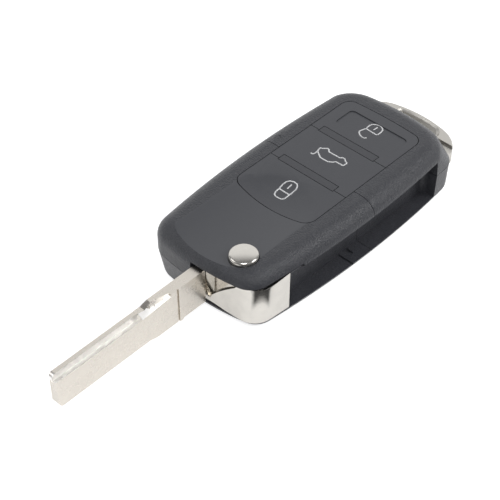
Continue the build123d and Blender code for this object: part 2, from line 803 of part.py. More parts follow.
# Battery contacts: bent sheet strips between the cell and the board
contact_end_x = cell_x - cell_radius - 3.0
with BuildPart() as battery_contact_negative:
    with BuildSketch(Plane.XZ.offset(-cell_y)):
        with BuildLine():
            Polyline(
                (cell_x + cell_radius / 2, floor_z),
                (contact_end_x, floor_z),
                (contact_end_x, board_low_z),
                (contact_end_x + contact_thickness, board_low_z),
                (contact_end_x + contact_thickness, cell_low_z),
                (cell_x + cell_radius / 2, cell_low_z),
                (cell_x + cell_radius / 2, floor_z),
            )
        make_face()
    extrude(amount=contact_width / 2, both=True)

cell_high_z = cell_low_z + cell_height
contact_rear_x = cell_x + cell_radius + 1.6
with BuildPart() as battery_contact_positive:
    with BuildSketch(Plane.XZ.offset(-cell_y)):
        with BuildLine():
            Polyline(
                (cell_x - 3.0, cell_high_z),
                (contact_rear_x, cell_high_z),
                (contact_rear_x, board_low_z),
                (contact_rear_x - contact_thickness, board_low_z),
                (contact_rear_x - contact_thickness, cell_high_z + contact_thickness),
                (cell_x - 3.0, cell_high_z + contact_thickness),
                (cell_x - 3.0, cell_high_z),
            )
        make_face()
    extrude(amount=contact_width / 2, both=True)

# Transponder in its pocket on the head's floor
with BuildPart() as transponder_chip:
    with Locations((chip_x, chip_y, floor_z)):
        Box(chip_length, chip_width, chip_height, align=(Align.CENTER, Align.CENTER, Align.MIN))
    fillet(transponder_chip.edges().filter_by(Axis.X).group_by(Axis.Z)[-1], 1.0)

# Screw that joins the two head shells, driven from below
with BuildPart() as case_screw:
    head_high_z = screw_head_height + 0.5
    with Locations((screw_x, screw_y, head_high_z)):
        Cylinder(screw_head_radius, screw_head_height, align=(Align.CENTER, Align.CENTER, Align.MAX))
        Cylinder(screw_radius, 9.0, align=(Align.CENTER, Align.CENTER, Align.MIN))
    with Locations((screw_x, screw_y, head_high_z - screw_head_height)):
        Box(2.0, 0.5, 0.9, mode=Mode.SUBTRACT)
        Box(0.5, 2.0, 0.9, mode=Mode.SUBTRACT)

# Key ring loop: a flat chromed casting held in the rear wall, stepped down beside the casing
hole_front_x = tail_x + loop_hole_gap
hole_rear_x = loop_reach_x - loop_band
with BuildPart() as keyring_loop:
    with BuildSketch(Plane.XY.offset(loop_low_z)):
        add(loop_outline())
    extrude(amount=loop_high_z - loop_low_z)
    bow_edges = keyring_loop.edges().filter_by(GeomType.CIRCLE)
    chamfer(bow_edges.group_by(Axis.Z)[-1] + bow_edges.group_by(Axis.Z)[0], loop_edge)
    with BuildSketch(Plane.XY.offset(loop_low_z)) as hole:
        with BuildLine():
            hole_left = (hole_rear_x - loop_bow, centre_y + loop_hole_half)
            hole_right = (hole_rear_x - loop_bow, centre_y - loop_hole_half)
            Polyline(
                hole_left,
                (hole_front_x, centre_y + loop_hole_half),
                (hole_front_x, centre_y - loop_hole_half),
                hole_right,
            )
            ThreePointArc(hole_right, (hole_rear_x, centre_y), hole_left)
        make_face()
        fillet(hole.vertices().sort_by_distance(hole_left)[0], loop_hole_round)
        fillet(hole.vertices().sort_by_distance(hole_right)[0], loop_hole_round)
    extrude(amount=loop_high_z - loop_low_z, mode=Mode.SUBTRACT)
    hole_edges = keyring_loop.faces().sort_by(Axis.Z)[-1].inner_wires()[0].edges()
    chamfer(hole_edges.sort_by_distance((hole_rear_x, centre_y, loop_high_z))[0], loop_edge)
    for side in (-1, 1):
        with Locations((tail_x - 1.2, centre_y + side * loop_hole_half, loop_high_z)):
            Box(
                1.2 + loop_step_gap,
                far_out,
                2 * loop_step_depth,
                align=(Align.MIN, Align.MIN if side > 0 else Align.MAX, Align.CENTER),
                mode=Mode.SUBTRACT,
            )

save(head_upper_shell.part, "head_upper_shell")
save(head_lower_shell.part, "head_lower_shell")
save(remote_upper_shell.part, "remote_upper_shell")
save(remote_lower_shell.part, "remote_lower_shell")
save(blade_carrier.part, "blade_carrier")
save(key_blade.part, "key_blade")
save(blade_pin.part, "blade_pin")
save(flip_button.part, "flip_button")
save(flip_spring.part, "flip_spring")
save(keypad_mat.part, "keypad_mat")
save(circuit_board.part, "circuit_board")
save(control_chip.part, "control_chip")
save(resonator_can.part, "resonator_can")
save(coin_cell.part, "coin_cell")
save(battery_contact_negative.part, "battery_contact_negative")
save(battery_contact_positive.part, "battery_contact_positive")
save(transponder_chip.part, "transponder_chip")
save(case_screw.part, "case_screw")
save(keyring_loop.part, "keyring_loop")
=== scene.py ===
import bmesh
import bpy
from math import radians, cos, sin, sqrt
from mathutils import Matrix, Vector


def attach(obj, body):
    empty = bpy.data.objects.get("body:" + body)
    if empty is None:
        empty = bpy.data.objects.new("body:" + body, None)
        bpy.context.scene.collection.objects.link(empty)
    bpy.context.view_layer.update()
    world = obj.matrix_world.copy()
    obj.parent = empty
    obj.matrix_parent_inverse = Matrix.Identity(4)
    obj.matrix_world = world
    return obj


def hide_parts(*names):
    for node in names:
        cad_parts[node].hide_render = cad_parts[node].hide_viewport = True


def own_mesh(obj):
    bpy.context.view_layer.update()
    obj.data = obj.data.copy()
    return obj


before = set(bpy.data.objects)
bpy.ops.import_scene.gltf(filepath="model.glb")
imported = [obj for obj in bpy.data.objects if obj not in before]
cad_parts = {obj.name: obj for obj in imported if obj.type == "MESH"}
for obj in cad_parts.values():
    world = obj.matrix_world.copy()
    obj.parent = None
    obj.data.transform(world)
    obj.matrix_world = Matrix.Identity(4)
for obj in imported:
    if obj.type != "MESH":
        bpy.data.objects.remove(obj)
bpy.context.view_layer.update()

# Photographer's stand. A long lens looks down on the key from beside the blade, from the
# distance and at the angles that the photograph was taken with, rolled by less than a degree.
stand_turn = radians(-46.153)
stand_drop = radians(43.799)
stand_roll = radians(-0.643)
stand_distance = 0.353527
stand_target = Vector((0.009096, 0.006769, 0.008))
stand_right = Vector((cos(stand_turn), sin(stand_turn), 0))
stand_forward = Vector((-sin(stand_turn) * cos(stand_drop),
                        cos(stand_turn) * cos(stand_drop),
                        -sin(stand_drop)))
stand_up = stand_right.cross(stand_forward)
picture_right = cos(stand_roll) * stand_right + sin(stand_roll) * stand_up
picture_up = -sin(stand_roll) * stand_right + cos(stand_roll) * stand_up
lens = bpy.data.cameras.new("stand_camera")
lens.lens = 108
lens.sensor_width = 36
lens.clip_start = 0.01
camera = bpy.data.objects.new("stand_camera", lens)
bpy.context.collection.objects.link(camera)
stand_place = Matrix.Translation(stand_target - stand_distance * stand_forward)
stand_tilt = Matrix((picture_right, picture_up, -stand_forward)).transposed().to_4x4()
camera.matrix_world = stand_place @ stand_tilt
bpy.context.scene.camera = camera
bpy.context.scene.view_settings.view_transform = "Standard"

# Table top. A wide white sheet of matt card that the key lies on. It shows white where no
# shadow falls, and keeps the soft shadow under the casing and the blade. The card also
# carries a painted dark reflection: a dark spot beside the key that only the chrome mirrors.
card_half = 3.0
card_drop = 0.00002
card_colour = (0.60, 0.60, 0.60, 1)
card_glow = 0.74
card_glow_in_chrome = 0.50
card_mesh = bpy.data.meshes.new("table_card")
card_corners = [(x * card_half, y * card_half, -card_drop)
                for x, y in ((-1, -1), (1, -1), (1, 1), (-1, 1))]
card_mesh.from_pydata(card_corners, [], [(0, 1, 2, 3)])
table_card = bpy.data.objects.new("table_card", card_mesh)
bpy.context.collection.objects.link(table_card)
matt_card = bpy.data.materials.new("matt_card")
matt_card.use_nodes = True
card_nodes = matt_card.node_tree.nodes
card_links = matt_card.node_tree.links
card_shader = card_nodes["Principled BSDF"]
card_shader.inputs["Base Color"].default_value = card_colour
card_shader.inputs["Roughness"].default_value = 0.9
card_shader.inputs["Specular IOR Level"].default_value = 0.1
card_seen = card_nodes.new("ShaderNodeLightPath")
card_in_chrome = card_nodes.new("ShaderNodeMath")
card_in_chrome.operation = "MULTIPLY"
card_in_chrome.inputs[1].default_value = card_glow_in_chrome
card_links.new(card_seen.outputs["Is Glossy Ray"], card_in_chrome.inputs[0])
card_strength = card_nodes.new("ShaderNodeMath")
card_strength.operation = "MULTIPLY_ADD"
card_strength.inputs[1].default_value = card_glow
card_links.new(card_seen.outputs["Is Camera Ray"], card_strength.inputs[0])
card_links.new(card_in_chrome.outputs[0], card_strength.inputs[2])
card_shader.inputs["Emission Color"].default_value = (1, 1, 1, 1)
card_links.new(card_strength.outputs[0], card_shader.inputs["Emission Strength"])

# Painted dark reflection: a dark patch on the card, seen only by glossy rays, so that the chrome shows
# a dark spot beside the key.
spot_corner = (-0.0025, -0.0080, 0.0)
spot_way = (-0.34, -0.94, 0.0)
spot_start = 0.0064
spot_full = 0.0086
spot_side_faint = 0.26
spot_side_full = 0.64
painted_reflection_shade = (0.07, 0.07, 0.07, 1)
spot_place = card_nodes.new("ShaderNodeTexCoord")
spot_offset = card_nodes.new("ShaderNodeVectorMath")
spot_offset.operation = "SUBTRACT"
spot_offset.inputs[1].default_value = spot_corner
card_links.new(spot_place.outputs["Object"], spot_offset.inputs[0])
spot_distance = card_nodes.new("ShaderNodeVectorMath")
spot_distance.operation = "LENGTH"
card_links.new(spot_offset.outputs["Vector"], spot_distance.inputs[0])
spot_near_edge = card_nodes.new("ShaderNodeMapRange")
spot_near_edge.inputs["From Min"].default_value = spot_start
spot_near_edge.inputs["From Max"].default_value = spot_full
card_links.new(spot_distance.outputs["Value"], spot_near_edge.inputs["Value"])
spot_heading = card_nodes.new("ShaderNodeVectorMath")
spot_heading.operation = "NORMALIZE"
card_links.new(spot_offset.outputs["Vector"], spot_heading.inputs[0])
spot_aim = card_nodes.new("ShaderNodeVectorMath")
spot_aim.operation = "DOT_PRODUCT"
spot_aim.inputs[1].default_value = spot_way
card_links.new(spot_heading.outputs["Vector"], spot_aim.inputs[0])
spot_sides = card_nodes.new("ShaderNodeMapRange")
spot_sides.inputs["From Min"].default_value = spot_side_faint
spot_sides.inputs["From Max"].default_value = spot_side_full
card_links.new(spot_aim.outputs["Value"], spot_sides.inputs["Value"])
painted_reflection_mask = card_nodes.new("ShaderNodeMath")
painted_reflection_mask.operation = "MULTIPLY"
card_links.new(spot_near_edge.outputs["Result"], painted_reflection_mask.inputs[0])
card_links.new(spot_sides.outputs["Result"], painted_reflection_mask.inputs[1])
painted_reflection_in_chrome = card_nodes.new("ShaderNodeMath")
painted_reflection_in_chrome.operation = "MULTIPLY"
card_links.new(painted_reflection_mask.outputs[0], painted_reflection_in_chrome.inputs[0])
card_links.new(card_seen.outputs["Is Glossy Ray"], painted_reflection_in_chrome.inputs[1])
painted_reflection_shader = card_nodes.new("ShaderNodeBsdfDiffuse")
painted_reflection_shader.inputs["Color"].default_value = painted_reflection_shade
painted_reflection_mix = card_nodes.new("ShaderNodeMixShader")
card_links.new(painted_reflection_in_chrome.outputs[0], painted_reflection_mix.inputs[0])
card_links.new(card_shader.outputs[0], painted_reflection_mix.inputs[1])
card_links.new(painted_reflection_shader.outputs[0], painted_reflection_mix.inputs[2])
card_links.new(painted_reflection_mix.outputs[0], card_nodes["Material Output"].inputs["Surface"])
card_mesh.materials.append(matt_card)

# Studio light. A white tent that is open and darker on the near side, so that plastic and chrome
# mirror white from behind and from both sides, and three softboxes that light the whole key.
wall_light = 0.60
near_side_shade = (0.20, 0.20, 0.205, 1)
far_side = (0.72, 0.69, 0.0)
shade_ends = 0.46
white_starts = 0.64
studio = bpy.data.worlds.new("white_studio")
bpy.context.scene.world = studio
studio.use_nodes = True
studio_nodes = studio.node_tree.nodes
studio_links = studio.node_tree.links
studio_nodes.clear()
studio_out = studio_nodes.new("ShaderNodeOutputWorld")
studio_fill = studio_nodes.new("ShaderNodeBackground")
studio_fill.inputs["Color"].default_value = (0.97, 0.98, 1.0, 1)
studio_fill.inputs["Strength"].default_value = wall_light
studio_direction = studio_nodes.new("ShaderNodeTexCoord")
studio_farness = studio_nodes.new("ShaderNodeVectorMath")
studio_farness.operation = "DOT_PRODUCT"
studio_farness.inputs[1].default_value = far_side
studio_links.new(studio_direction.outputs["Generated"], studio_farness.inputs[0])
studio_walls = studio_nodes.new("ShaderNodeValToRGB")
studio_walls.color_ramp.elements[0].position = shade_ends
studio_walls.color_ramp.elements[0].color = near_side_shade
studio_walls.color_ramp.elements[1].position = white_starts
studio_walls.color_ramp.elements[1].color = (1, 1, 1, 1)
studio_links.new(studio_farness.outputs["Value"], studio_walls.inputs["Fac"])
studio_seen = studio_nodes.new("ShaderNodeBackground")
studio_seen.inputs["Strength"].default_value = 1.0
studio_path = studio_nodes.new("ShaderNodeLightPath")
studio_backdrop = studio_nodes.new("ShaderNodeMix")
studio_backdrop.data_type = "RGBA"
studio_backdrop.inputs["B"].default_value = (1, 1, 1, 1)
studio_links.new(studio_path.outputs["Is Camera Ray"], studio_backdrop.inputs["Factor"])
studio_links.new(studio_walls.outputs["Color"], studio_backdrop.inputs["A"])
studio_links.new(studio_backdrop.outputs["Result"], studio_seen.inputs["Color"])
studio_sum = studio_nodes.new("ShaderNodeMath")
studio_sum.operation = "MAXIMUM"
studio_links.new(studio_path.outputs["Is Camera Ray"], studio_sum.inputs[0])
studio_links.new(studio_path.outputs["Is Glossy Ray"], studio_sum.inputs[1])
studio_all = studio_nodes.new("ShaderNodeMath")
studio_all.operation = "MAXIMUM"
studio_links.new(studio_sum.outputs[0], studio_all.inputs[0])
studio_links.new(studio_path.outputs["Is Transmission Ray"], studio_all.inputs[1])
studio_mix = studio_nodes.new("ShaderNodeMixShader")
studio_links.new(studio_all.outputs[0], studio_mix.inputs[0])
studio_links.new(studio_fill.outputs[0], studio_mix.inputs[1])
studio_links.new(studio_seen.outputs[0], studio_mix.inputs[2])
studio_links.new(studio_mix.outputs[0], studio_out.inputs["Surface"])


def hang_softbox(name, place, aim, side, watts):
    """Hangs a square softbox at a place, turned towards the point that it is aimed at."""
    softbox = bpy.data.lights.new(name, "AREA")
    softbox.shape = "SQUARE"
    softbox.size = side
    softbox.energy = watts
    hung = bpy.data.objects.new(name, softbox)
    bpy.context.collection.objects.link(hung)
    hung.location = place
    hung.rotation_euler = (Vector(aim) - Vector(place)).to_track_quat("-Z", "Y").to_euler()


hang_softbox("right_softbox", (0.40, -0.46, 0.50), (0.02, 0.0, 0.0), side=0.28, watts=2.20)
hang_softbox("near_softbox", (-0.29, -0.30, 0.70), (0.0, 0.0, 0.0), side=0.34, watts=2.00)
hang_softbox("left_softbox", (-0.46, 0.50, 0.50), (0.0, 0.0, 0.0), side=0.40, watts=1.00)

# Casing. Four shells of black plastic, moulded in tools with a fine spark-eroded grain. Three
# are finished here and the front upper one in the next part. The tool is polished where it
# forms the thumb dish, so that the dish is smooth and satin; its lighter colour is a painted sheen.
grain_size = 0.00038
grain_depth = 0.00020
casing_colour = (0.032, 0.0333, 0.0390, 1)
casing_colour_worn = (0.043, 0.0444, 0.0510, 1)


def moulded_plastic(name, colour, other_colour, roughness, grain, depth):
    """Moulded plastic: two shades in soft patches, a grain in relief and slightly uneven gloss."""
    patches_per_metre = 260
    patch_share = 0.45
    grain_share = 0.55
    gloss_above = 0.05
    gloss_below = 0.07
    plastic = bpy.data.materials.new(name)
    plastic.use_nodes = True
    nodes = plastic.node_tree.nodes
    links = plastic.node_tree.links
    shader = nodes["Principled BSDF"]
    place = nodes.new("ShaderNodeTexCoord")
    patches = nodes.new("ShaderNodeTexNoise")
    patches.inputs["Scale"].default_value = patches_per_metre
    patches.inputs["Detail"].default_value = 3
    links.new(place.outputs["Object"], patches.inputs["Vector"])
    speckle = nodes.new("ShaderNodeTexNoise")
    speckle.inputs["Scale"].default_value = 1 / grain
    speckle.inputs["Detail"].default_value = 2
    speckle.inputs["Roughness"].default_value = 0.6
    links.new(place.outputs["Object"], speckle.inputs["Vector"])
    grain_part = nodes.new("ShaderNodeMath")
    grain_part.operation = "MULTIPLY"
    grain_part.inputs[1].default_value = grain_share
    links.new(speckle.outputs["Fac"], grain_part.inputs[0])
    both = nodes.new("ShaderNodeMath")
    both.operation = "MULTIPLY_ADD"
    both.inputs[1].default_value = patch_share
    links.new(patches.outputs["Fac"], both.inputs[0])
    links.new(grain_part.outputs[0], both.inputs[2])
    shades = nodes.new("ShaderNodeValToRGB")
    shades.color_ramp.elements[0].position = 0.35
    shades.color_ramp.elements[0].color = colour
    shades.color_ramp.elements[1].position = 0.68
    shades.color_ramp.elements[1].color = other_colour
    links.new(both.outputs[0], shades.inputs["Fac"])
    links.new(shades.outputs["Color"], shader.inputs["Base Color"])
    gloss = nodes.new("ShaderNodeMapRange")
    gloss.inputs["To Min"].default_value = roughness - gloss_above
    gloss.inputs["To Max"].default_value = roughness + gloss_below
    links.new(patches.outputs["Fac"], gloss.inputs["Value"])
    links.new(gloss.outputs["Result"], shader.inputs["Roughness"])
    relief = nodes.new("ShaderNodeBump")
    relief.inputs["Strength"].default_value = 1.0
    relief.inputs["Distance"].default_value = depth
    links.new(speckle.outputs["Fac"], relief.inputs["Height"])
    links.new(relief.outputs["Normal"], shader.inputs["Normal"])
    shader.inputs["IOR"].default_value = 1.5
    return plastic


weld_distance = 0.000002


def soften_facets(piece, crease=26):
    """Welds a piece's facets and shades it smooth, except at edges sharper than crease."""
    if "soft_moulding" not in bpy.data.node_groups:
        tree = bpy.data.node_groups.new("soft_moulding", "GeometryNodeTree")
        tree.interface.new_socket("Geometry", in_out="INPUT", socket_type="NodeSocketGeometry")
        tree.interface.new_socket("Weld Distance", in_out="INPUT", socket_type="NodeSocketFloat")
        tree.interface.new_socket("Crease Angle", in_out="INPUT", socket_type="NodeSocketFloat")
        tree.interface.new_socket("Geometry", in_out="OUTPUT", socket_type="NodeSocketGeometry")
        given = tree.nodes.new("NodeGroupInput")
        weld = tree.nodes.new("GeometryNodeMergeByDistance")
        smooth = tree.nodes.new("GeometryNodeSetShadeSmooth")
        sharpen = tree.nodes.new("GeometryNodeSetShadeSmooth")
        sharpen.domain = "EDGE"
        sharpen.inputs["Shade Smooth"].default_value = False
        bend = tree.nodes.new("GeometryNodeInputMeshEdgeAngle")
        sharper = tree.nodes.new("FunctionNodeCompare")
        sharper.data_type = "FLOAT"
        sharper.operation = "GREATER_THAN"
        made = tree.nodes.new("NodeGroupOutput")
        tree.links.new(given.outputs["Geometry"], weld.inputs["Geometry"])
        tree.links.new(given.outputs["Weld Distance"], weld.inputs["Distance"])
        tree.links.new(weld.outputs["Geometry"], smooth.inputs["Geometry"])
        tree.links.new(smooth.outputs["Geometry"], sharpen.inputs["Geometry"])
        tree.links.new(bend.outputs["Unsigned Angle"], sharper.inputs["A"])
        tree.links.new(given.outputs["Crease Angle"], sharper.inputs["B"])
        tree.links.new(sharper.outputs["Result"], sharpen.inputs["Selection"])
        tree.links.new(sharpen.outputs["Geometry"], made.inputs["Geometry"])
    tree = bpy.data.node_groups["soft_moulding"]
    softening = piece.modifiers.new("soft_moulding", "NODES")
    softening.node_group = tree
    sockets = {s.name: s.identifier for s in tree.interface.items_tree if s.in_out == "INPUT"}
    softening[sockets["Weld Distance"]] = weld_distance
    softening[sockets["Crease Angle"]] = radians(crease)
    weighted = piece.modifiers.new("flat_faces_stay_flat", "WEIGHTED_NORMAL")
    weighted.keep_sharp = True


def finish_node(name, finish, crease=26):
    """Gives a moulded, cast or cut piece its finish and softens its facets."""
    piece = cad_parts[name]
    soften_facets(piece, crease)
    piece.data.materials.clear()
    piece.data.materials.append(finish)
    return piece


grained_plastic = moulded_plastic("grained_plastic", casing_colour, casing_colour_worn,
                                  roughness=0.33, grain=grain_size, depth=grain_depth)
# The dish's plastic is smooth, and is coloured lighter than the grained casing as a painted sheen.
polished_plastic_with_painted_sheen = moulded_plastic("polished_plastic_with_painted_sheen",
                                   (0.048, 0.0495, 0.0560, 1), (0.051, 0.0525, 0.0590, 1),
                                   roughness=0.30, grain=0.0009, depth=0.000004)
for shell in ("head_lower_shell", "remote_upper_shell", "remote_lower_shell"):
    finish_node(shell, grained_plastic)

casing_top_z = 0.0169
dish_radius = 0.078
dish_half_width = 0.0112
dish_centre_y = 0.0081
dish_end_x = 0.0168
dish_axis_z = casing_top_z + sqrt(dish_radius**2 - dish_half_width**2)
dish_tolerance = 0.00003


def dish_height(x, y):
    """Height of the thumb dish's surface at a place seen from above."""
    return dish_axis_z - sqrt(dish_radius**2 - (y - dish_centre_y)**2 - max(x - dish_end_x, 0)**2)


def polish_dish(piece):
    """Sets the polished finish, with its painted sheen, on those faces of a piece that form the thumb
    dish.
    """
    piece.data.materials.append(polished_plastic_with_painted_sheen)
    for face in piece.data.polygons:
        corners = [piece.data.vertices[i].co for i in face.vertices]
        if all(abs(c.z - dish_height(c.x, c.y)) < dish_tolerance for c in corners):
            face.material_index = 1


# Front roof. The front upper shell, with the ceiling of the blade's bay cut higher, so that the
# chrome reaches up to the plastic's front edge, as it does on the real key.
bay_ceiling = 0.0132
bay_ceiling_cut = 0.0138
bay_rear_x = 0.0098
bay_step_x = 0.0100
bay_tolerance = 0.00001
cut_tolerance = 0.000001
facing_down = -0.99
carrier_reach = 0.0112


def copy_solid(node):
    """A copy of a piece's mesh, with its loose facets welded."""
    solid = bmesh.new()
    solid.from_mesh(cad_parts[node].data)
    bmesh.ops.remove_doubles(solid, verts=solid.verts, dist=weld_distance)
    return solid


def stand_in(solid, name, node, body, finish, crease=26, broken_edge=0):
    """Puts a copied solid in its piece's place, with the piece's finish and soft facets."""
    mesh = bpy.data.meshes.new(name)
    solid.to_mesh(mesh)
    solid.free()
    mesh.materials.append(finish)
    piece = bpy.data.objects.new(name, mesh)
    bpy.context.collection.objects.link(piece)
    if broken_edge:
        bevel = piece.modifiers.new("broken_edges", "BEVEL")
        bevel.width = broken_edge
        bevel.segments = 2
        bevel.limit_method = "ANGLE"
        bevel.angle_limit = radians(50)
    soften_facets(piece, crease)
    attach(piece, body)
    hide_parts(node)
    return piece


def ceiling_faces(solid):
    """The faces of the bay's ceiling, which lie level and look down."""
    return [f for f in solid.faces if f.normal.z < facing_down
            and all(abs(v.co.z - bay_ceiling) < bay_tolerance for v in f.verts)]


roof_solid = copy_solid("head_upper_shell")
for cut_x in (bay_rear_x, bay_step_x):
    ceiling = ceiling_faces(roof_solid)
    near = set(ceiling) | {e for f in ceiling for e in f.edges} | {v for f in ceiling for v in f.verts}
    bmesh.ops.bisect_plane(roof_solid, geom=list(near), dist=cut_tolerance,
                           plane_co=(cut_x, 0, 0), plane_no=(1, 0, 0))
for corner in {v for f in ceiling_faces(roof_solid) for v in f.verts}:
    if corner.co.x < bay_rear_x + bay_tolerance or corner.co.xy.length < carrier_reach:
        corner.co.z = bay_ceiling_cut
front_roof = stand_in(roof_solid, "front_roof", "head_upper_shell", "case", grained_plastic)
polish_dish(front_roof)

# Key caps. Three caps of the same black plastic with a finer grain, moulded hollow with a
# plunger over each switch; the front one carries the end of the thumb dish.
cap_plastic = moulded_plastic("cap_plastic", (0.042, 0.0435, 0.050, 1), (0.050, 0.0515, 0.058, 1),
                              roughness=0.34, grain=0.00022, depth=0.000014)
for cap in ("lock_button", "boot_button", "unlock_button"):
    finish_node(cap, cap_plastic)

# Keypad mat. One sheet of moulded silicone rubber on the board; its two bars stand between
# the caps and show as narrow strips of nearly the caps' own tone.
mat_rubber = moulded_plastic("mat_rubber", (0.038, 0.0392, 0.0450, 1), (0.045, 0.0462, 0.0525, 1),
                             roughness=0.40, grain=0.0003, depth=0.00001)
finish_node("keypad_mat", mat_rubber)

# Printed symbols. White lines pad-printed on the caps: a closed padlock, a car with its boot
# open and an open padlock. The ink stands a few hundredths of a millimetre proud.
ink_width = 0.00035
ink_height = 0.00006
ink_step = 0.00012
white_ink = bpy.data.materials.new("white_ink")
white_ink.use_nodes = True
ink_nodes = white_ink.node_tree.nodes
ink_links = white_ink.node_tree.links
ink_shader = ink_nodes["Principled BSDF"]
ink_shader.inputs["Roughness"].default_value = 0.5
ink_place = ink_nodes.new("ShaderNodeTexCoord")
ink_cover = ink_nodes.new("ShaderNodeTexNoise")
ink_cover.inputs["Scale"].default_value = 2500
ink_cover.inputs["Detail"].default_value = 2
ink_shades = ink_nodes.new("ShaderNodeValToRGB")
ink_shades.color_ramp.elements[0].position = 0.3
ink_shades.color_ramp.elements[0].color = (0.42, 0.42, 0.43, 1)
ink_shades.color_ramp.elements[1].position = 0.6
ink_shades.color_ramp.elements[1].color = (0.64, 0.64, 0.64, 1)
ink_links.new(ink_place.outputs["Object"], ink_cover.inputs["Vector"])
ink_links.new(ink_cover.outputs["Fac"], ink_shades.inputs["Fac"])
ink_links.new(ink_shades.outputs["Color"], ink_shader.inputs["Base Color"])

ink_tree = bpy.data.node_groups.new("printed_line", "GeometryNodeTree")
ink_tree.interface.new_socket("Geometry", in_out="INPUT", socket_type="NodeSocketGeometry")
for measure in ("Line Width", "Line Height", "Corner Radius", "Step"):
    ink_tree.interface.new_socket(measure, in_out="INPUT", socket_type="NodeSocketFloat")
ink_tree.interface.new_socket("Ink", in_out="INPUT", socket_type="NodeSocketMaterial")
ink_tree.interface.new_socket("Geometry", in_out="OUTPUT", socket_type="NodeSocketGeometry")
ink_in = ink_tree.nodes.new("NodeGroupInput")
ink_out = ink_tree.nodes.new("NodeGroupOutput")
ink_round = ink_tree.nodes.new("GeometryNodeFilletCurve")
ink_round.mode = "POLY"
ink_round.inputs["Count"].default_value = 5
ink_round.inputs["Limit Radius"].default_value = True
ink_steps = ink_tree.nodes.new("GeometryNodeResampleCurve")
ink_steps.mode = "LENGTH"
ink_level = ink_tree.nodes.new("GeometryNodeSetCurveNormal")
ink_level.mode = "Z_UP"
ink_section = ink_tree.nodes.new("GeometryNodeCurvePrimitiveQuadrilateral")
ink_sweep = ink_tree.nodes.new("GeometryNodeCurveToMesh")
ink_sweep.inputs["Fill Caps"].default_value = True
ink_real = ink_tree.nodes.new("GeometryNodeRealizeInstances")
ink_paint = ink_tree.nodes.new("GeometryNodeSetMaterial")
ink_tree.links.new(ink_in.outputs["Geometry"], ink_round.inputs["Curve"])
ink_tree.links.new(ink_in.outputs["Corner Radius"], ink_round.inputs["Radius"])
ink_tree.links.new(ink_round.outputs["Curve"], ink_steps.inputs["Curve"])
ink_tree.links.new(ink_in.outputs["Step"], ink_steps.inputs["Length"])
ink_tree.links.new(ink_steps.outputs["Curve"], ink_level.inputs["Curve"])
ink_tree.links.new(ink_in.outputs["Line Width"], ink_section.inputs["Width"])
ink_tree.links.new(ink_in.outputs["Line Height"], ink_section.inputs["Height"])
ink_tree.links.new(ink_level.outputs["Curve"], ink_sweep.inputs["Curve"])
ink_tree.links.new(ink_section.outputs["Curve"], ink_sweep.inputs["Profile Curve"])
ink_tree.links.new(ink_sweep.outputs["Mesh"], ink_real.inputs["Geometry"])
ink_tree.links.new(ink_real.outputs["Geometry"], ink_paint.inputs["Geometry"])
ink_tree.links.new(ink_in.outputs["Ink"], ink_paint.inputs["Material"])
ink_tree.links.new(ink_paint.outputs["Geometry"], ink_out.inputs["Geometry"])


def print_symbol(name, body, lines, surface, corner):
    """Prints a symbol of thin lines, given in millimetres from above, on a cap's surface."""
    path = bpy.data.curves.new(name + "_path", "CURVE")
    path.dimensions = "3D"
    for points, closed in lines:
        spline = path.splines.new("POLY")
        spline.points.add(len(points) - 1)
        for i, (x, y) in enumerate(points):
            spline.points[i].co = (x / 1000, dish_centre_y + y / 1000, 0, 1)
        spline.use_cyclic_u = closed
    drawn = bpy.data.objects.new(name + "_path", path)
    bpy.context.collection.objects.link(drawn)
    inking = drawn.modifiers.new("printed_line", "NODES")
    inking.node_group = ink_tree
    sockets = {s.name: s.identifier for s in ink_tree.interface.items_tree if s.in_out == "INPUT"}
    inking[sockets["Line Width"]] = ink_width
    inking[sockets["Line Height"]] = ink_height
    inking[sockets["Corner Radius"]] = corner
    inking[sockets["Step"]] = ink_step
    inking[sockets["Ink"]] = white_ink
    evaluated = drawn.evaluated_get(bpy.context.evaluated_depsgraph_get())
    printed = bpy.data.objects.new(name, bpy.data.meshes.new_from_object(evaluated))
    bpy.context.collection.objects.link(printed)
    bpy.data.objects.remove(drawn)
    for vertex in printed.data.vertices:
        vertex.co.z += surface(vertex.co.x, vertex.co.y)
    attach(printed, body)


padlock_corner = 0.0004
boot_corner = 0.0003
unlock_recess = 0.00025
closed_padlock = [
    ([(22.88, 2.11), (22.88, -1.3), (25.19, -1.24), (26.03, -0.85), (26.65, -0.3),
      (26.75, 0.82), (26.33, 1.79), (25.64, 2.27), (24.6, 2.36)], True),
    ([(22.88, 2.06), (21.58, 2.03), (20.72, 1.61), (20.45, 1.0), (20.45, -0.1),
      (20.67, -0.88), (21.25, -1.2), (22.88, -1.25)], False),
    ([(24.09, 0.56), (25.75, 0.64)], False),
]
open_boot = [
    ([(39.0, 4.19), (40.53, 4.49), (40.42, 3.98), (41.42, 2.9), (41.2, 2.44), (40.61, 1.91),
      (40.7, -1.6), (41.2, -1.97), (41.2, -2.71), (40.65, -3.35), (40.37, -4.12), (39.02, -4.04),
      (38.95, -1.75), (38.3, -1.32), (37.63, -0.29), (37.58, 2.07), (37.94, 2.61)], True),
    ([(37.37, 4.93), (37.2, 4.42), (37.52, 4.15), (38.06, 4.04), (38.9, 4.17)], False),
]
open_padlock = [
    ([(53.8, 1.25), (53.65, -2.4), (55.18, -2.42), (56.07, -2.2), (56.75, -1.6),
      (57.0, -0.58), (56.75, 0.29), (56.14, 1.13), (55.35, 1.39)], True),
    ([(53.75, 1.3), (52.77, 1.6), (51.96, 1.82), (51.44, 1.5), (50.88, 0.76),
      (50.62, -0.12), (50.68, -0.85), (51.15, -1.12)], False),
    ([(54.64, -0.49), (56.13, -0.56)], False),
]
print_symbol("closed_padlock_print", "lock_button", closed_padlock, dish_height, padlock_corner)
print_symbol("open_boot_print", "boot_button", open_boot, lambda x, y: casing_top_z, boot_corner)
